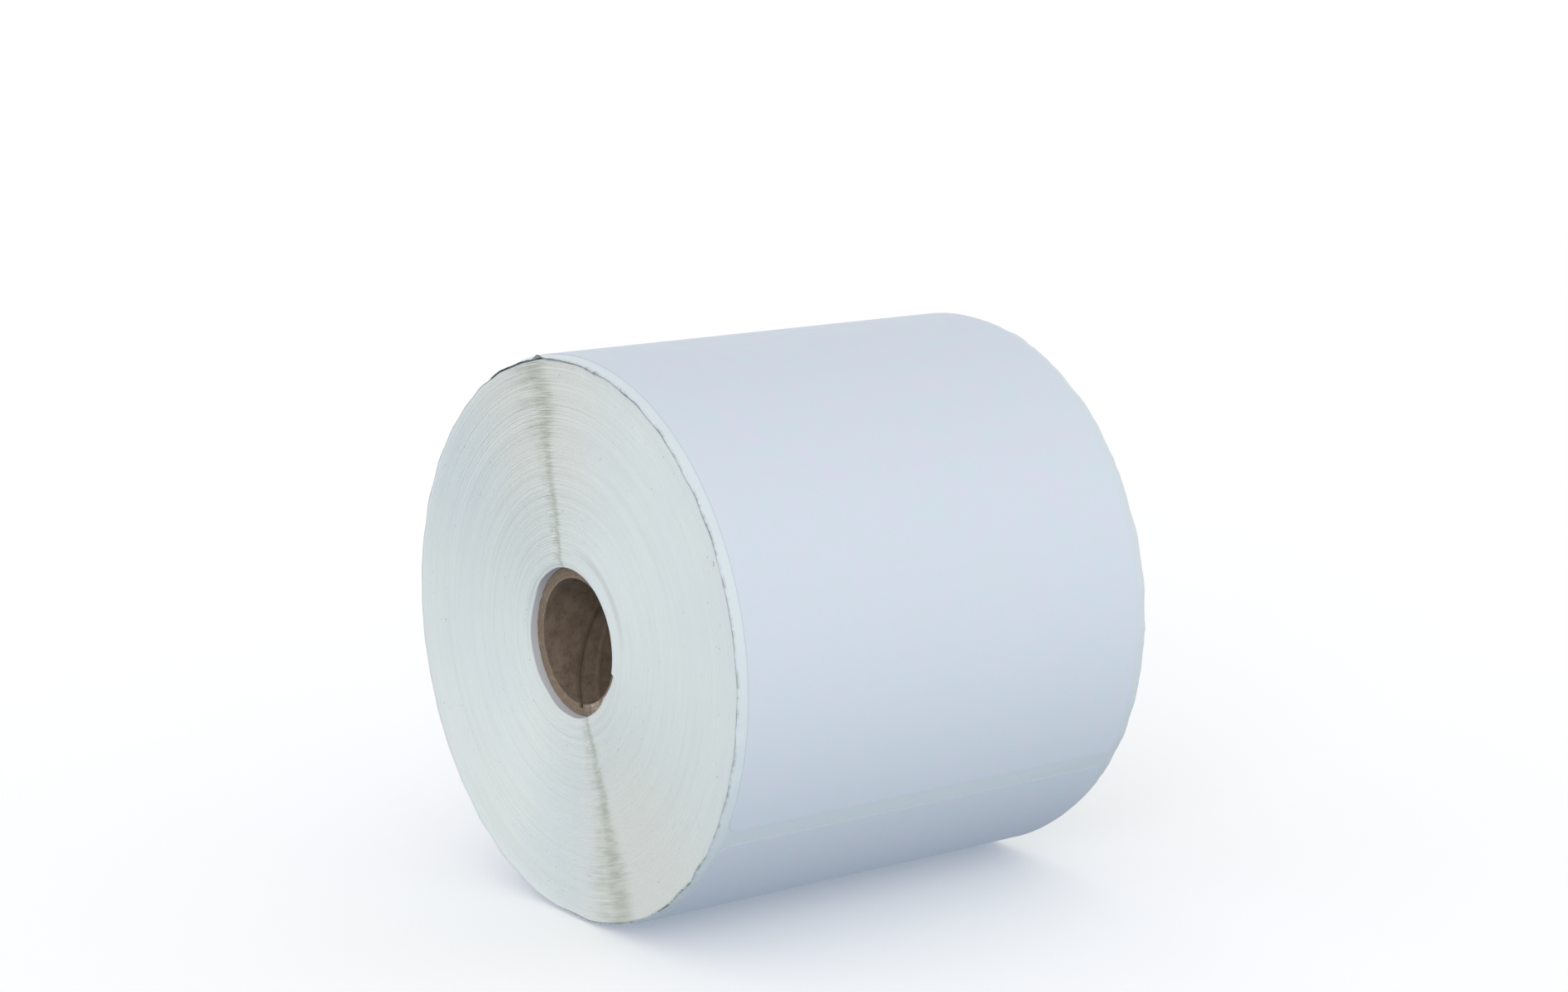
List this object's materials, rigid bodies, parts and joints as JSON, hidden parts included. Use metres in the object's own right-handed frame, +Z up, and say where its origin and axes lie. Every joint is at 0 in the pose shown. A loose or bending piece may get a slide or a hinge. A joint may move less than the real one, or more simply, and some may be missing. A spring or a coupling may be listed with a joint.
{
  "type": "label roll",
  "caption": "Roll of white self-adhesive labels on a release liner, wound on a short recessed kraft core, with a slack outer turn and a leader that unwinds.",
  "frame": {"origin": "middle of the roll's axis, halfway between the two end faces", "axes": "+Y along the roll's axis, away from the end face that the picture shows; +Z up, with the roll lying on its side"},
  "size_m": [0.1169, 0.105, 0.1167],
  "materials": {
    "label_face": "smooth matt-coated thermal paper, bluish white",
    "release_liner": "calendered silicone-coated liner, faint green-white sheen",
    "wound_paper_edges": "slit paper edges in many turns, matt, fine concentric lines",
    "kraft_board": "spiral-wound unbleached kraft board, matt, torn fibres at the ends",
    "start_tape": "thin translucent adhesive tape"
  },
  "bodies": {
    "roll": {"core_inner_ply": "kraft_board", "core_middle_ply": "kraft_board", "core_outer_ply": "kraft_board", "core_start_tape": "start_tape", "wound_web": "wound_paper_edges", "liner_outer_turns": "release_liner", "label_1_on_roll": "label_face", "label_2": "label_face", "label_3": "label_face", "label_4": "label_face", "label_5": "label_face"},
    "leader_1": {"leader_liner_1": "release_liner", "leader_label_1": "label_face"},
    "leader_2": {"leader_liner_2": "release_liner", "leader_label_2": "label_face"},
    "leader_3": {"leader_liner_3": "release_liner", "leader_label_3": "label_face"},
    "leader_4": {"leader_liner_4": "release_liner", "leader_label_4": "label_face"},
    "leader_5": {"leader_liner_5": "release_liner", "leader_label_5": "label_face"},
    "label_edge": {"label_peel_edge": "label_face"}
  },
  "joints": [
    {"name": "leader_unwind_1", "type": "hinge", "parent": "roll", "child": "leader_1", "pos_m": [0.01814, 0, 0.05583], "axis": [0, 1, 0], "range_deg": [0, 10], "stiffness_Nm_per_rad": 0.01},
    {"name": "leader_unwind_2", "type": "hinge", "parent": "leader_1", "child": "leader_2", "pos_m": [0.01019, 0, 0.0578], "axis": [0, 1, 0], "range_deg": [0, 10], "stiffness_Nm_per_rad": 0.01},
    {"name": "leader_unwind_3", "type": "hinge", "parent": "leader_2", "child": "leader_3", "pos_m": [0.00205, 0, 0.05864], "axis": [0, 1, 0], "range_deg": [0, 10], "stiffness_Nm_per_rad": 0.01},
    {"name": "leader_unwind_4", "type": "hinge", "parent": "leader_3", "child": "leader_4", "pos_m": [-0.00613, 0, 0.05834], "axis": [0, 1, 0], "range_deg": [0, 10], "stiffness_Nm_per_rad": 0.01},
    {"name": "leader_unwind_5", "type": "hinge", "parent": "leader_4", "child": "leader_5", "pos_m": [-0.01419, 0, 0.05691], "axis": [0, 1, 0], "range_deg": [0, 10], "stiffness_Nm_per_rad": 0.01},
    {"name": "label_edge_peel", "type": "hinge", "parent": "leader_5", "child": "label_edge", "pos_m": [-0.02004, 0, 0.05507], "axis": [0, 1, 0], "range_deg": [0, 50]}
  ]
}
